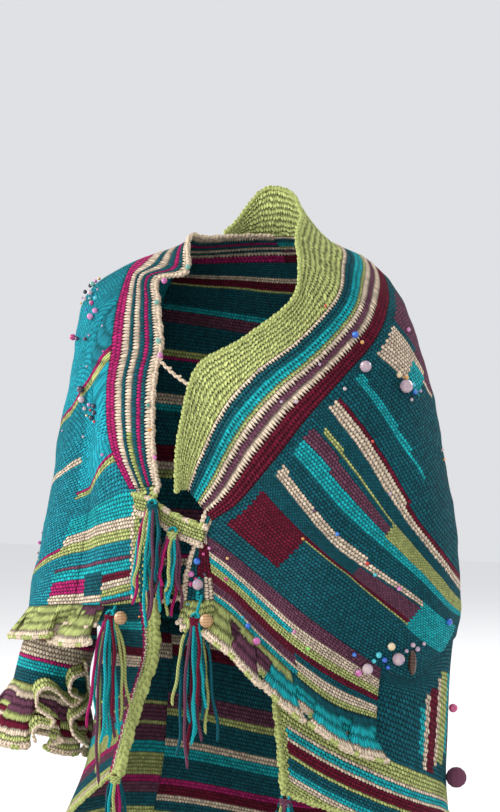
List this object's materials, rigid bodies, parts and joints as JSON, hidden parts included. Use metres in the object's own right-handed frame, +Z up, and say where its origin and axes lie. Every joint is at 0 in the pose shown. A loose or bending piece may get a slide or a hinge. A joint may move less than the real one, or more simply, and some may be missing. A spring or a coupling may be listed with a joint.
{
  "type": "freeform crochet wrap jacket",
  "caption": "Open-front freeform crochet wrap jacket as worn: shawl collar, striped bands and panels, ruffled tiers, one flounced lower sleeve, yarn tassels and beads.",
  "frame": {"origin": "middle of the base of the wearer's neck, where the shoulders carry the garment", "axes": "+Z up, the front faces -Y, the wearer's left is +X"},
  "size_m": [0.6762, 0.3921, 0.9046],
  "materials": {
    "lime_yarn": "matte crochet",
    "teal_yarn": "matte crochet",
    "turquoise_yarn": "matte crochet",
    "cream_yarn": "matte crochet",
    "burgundy_yarn": "matte crochet",
    "mauve_yarn": "matte crochet",
    "magenta_yarn": "matte crochet",
    "pale_wood": "satin",
    "dark_wood": "gloss",
    "pearl_gloss": "pearl"
  },
  "bodies": {
    "root": {"collar": "lime_yarn", "left_front_band": "burgundy_yarn", "right_front_band": "magenta_yarn", "left_front": "teal_yarn", "left_border": "mauve_yarn", "left_edge_strip": "burgundy_yarn", "left_ruffle": "cream_yarn", "left_edge_ruffle": "lime_yarn", "right_front": "turquoise_yarn", "right_sleeve": "teal_yarn", "right_hem_ruffle": "lime_yarn", "right_side_ruffle": "lime_yarn", "right_lower_sleeve": "teal_yarn", "right_cuff_ruffle": "cream_yarn", "back": "teal_yarn", "back_ruffle": "cream_yarn", "skirt_right": "teal_yarn", "skirt_back": "teal_yarn", "skirt_left": "teal_yarn", "bust_tie": "lime_yarn", "neck_chain": "cream_yarn", "waist_chain": "cream_yarn", "tassel_bust": "turquoise_yarn", "tassel_tie": "teal_yarn", "tassel_waist_right": "turquoise_yarn", "tassel_waist_left": "turquoise_yarn", "tassel_hem_right": "magenta_yarn", "tassel_hem_left": "turquoise_yarn", "wood_bead_right": "pale_wood", "wood_bead_left": "pale_wood", "wood_drop": "dark_wood", "mauve_bobble": "mauve_yarn", "pink_bobble": "magenta_yarn", "pearl_band": "pearl_gloss", "pearl_shoulder": "pearl_gloss", "pearl_waist": "pearl_gloss", "pearl_wing": "pearl_gloss"}
  },
  "joints": []
}
